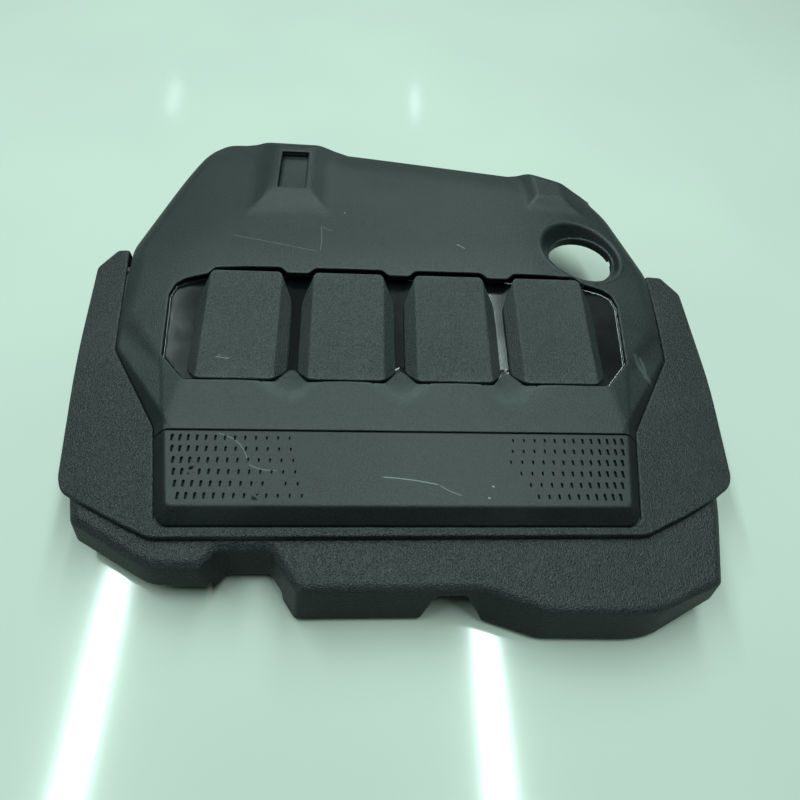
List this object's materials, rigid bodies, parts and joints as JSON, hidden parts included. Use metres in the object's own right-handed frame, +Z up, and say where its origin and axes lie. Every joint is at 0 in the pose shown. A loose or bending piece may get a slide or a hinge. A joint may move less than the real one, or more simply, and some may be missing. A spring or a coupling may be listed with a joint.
{
  "type": "engine cover",
  "caption": "Moulded cover for the top of an in-line engine, with raised pads in a recess, a perforated front panel, side wings, a front skirt and an oil filler opening.",
  "frame": {"origin": "middle of the footprint, on the plane that the four rubber sockets stand on", "axes": "+X across the engine to the filler's side, +Y from the front skirt to the rear deck, +Z up"},
  "size_m": [0.553, 0.4931, 0.0942],
  "materials": {
    "deck_plastic": "fine grained charcoal moulding with a low sheen",
    "frame_plastic": "coarser grained charcoal moulding",
    "skirt_plastic": "grained near-black moulding",
    "panel_plastic": "smooth satin charcoal moulding with light scratches",
    "gloss_black": "polished black",
    "pad_plastic": "coarse grained charcoal",
    "socket_rubber": "matt black rubber",
    "foam": "open dark grey foam",
    "nut_steel": "stamped spring steel"
  },
  "bodies": {
    "root": {"main_cover": "deck_plastic", "side_frame": "frame_plastic", "front_skirt": "skirt_plastic", "perforated_panel": "panel_plastic", "gloss_insert": "gloss_black", "pad_1": "pad_plastic", "pad_2": "pad_plastic", "pad_3": "pad_plastic", "pad_4": "pad_plastic", "socket_front_left": "socket_rubber", "socket_front_right": "socket_rubber", "socket_rear_left": "socket_rubber", "socket_rear_right": "socket_rubber", "acoustic_mat": "foam", "frame_push_nuts": "nut_steel", "skirt_push_nuts": "nut_steel", "panel_push_nuts": "nut_steel", "insert_push_nuts": "nut_steel", "pad_push_nuts": "nut_steel", "mat_push_nuts": "nut_steel"}
  },
  "joints": []
}
